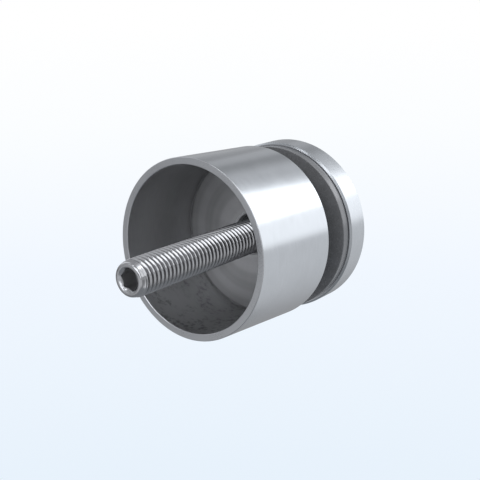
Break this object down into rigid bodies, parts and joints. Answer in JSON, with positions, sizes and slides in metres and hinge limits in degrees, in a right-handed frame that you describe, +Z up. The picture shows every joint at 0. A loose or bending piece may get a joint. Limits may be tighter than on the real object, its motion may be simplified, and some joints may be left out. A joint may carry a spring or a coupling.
{
  "type": "glass standoff",
  "caption": "Point-fixed glass standoff: hollow round steel cup for the wall, threaded socket stud, and a screw-on disc cap with gaskets that clamps a glass pane.",
  "frame": {"origin": "centre of the cup's open rim, in the plane that bears on the wall", "axes": "+Y along the cup's axis from the wall towards the glass and the cap, +Z up, +X to the right seen from the wall side"},
  "size_m": [0.0505, 0.0755, 0.0502],
  "materials": {
    "satin_steel": "satin, fine lengthwise grain",
    "stud_steel": "bright rolled thread",
    "gasket_rubber": "smooth matt, slightly glossy cut edge"
  },
  "bodies": {
    "cup": {"cup": "satin_steel", "cup_gasket": "gasket_rubber"},
    "stud": {"stud": "stud_steel"},
    "cap_gasket": {"cap_gasket": "gasket_rubber"},
    "cap": {"cap": "satin_steel"}
  },
  "joints": [
    {"name": "stud_slide", "type": "slide", "parent": "cup", "child": "stud", "axis": [-0.0367, 0.9986, 0.0373], "range_m": [-0.0054, 0.048]},
    {"name": "cap_travel", "type": "slide", "parent": "stud", "child": "cap_gasket", "axis": [-0.0367, 0.9986, 0.0373], "range_m": [0, 0.0035]},
    {"name": "cap_turn", "type": "hinge", "parent": "cap_gasket", "child": "cap", "pos_m": [-0.00026, 0.04088, -0.00005], "axis": [-0.0367, 0.9986, 0.0373], "range_deg": [0, 840]}
  ],
  "couplings": [
    {"joint": "cap_travel", "follows": "cap_turn", "m_per_rad": 0.00023873}
  ]
}
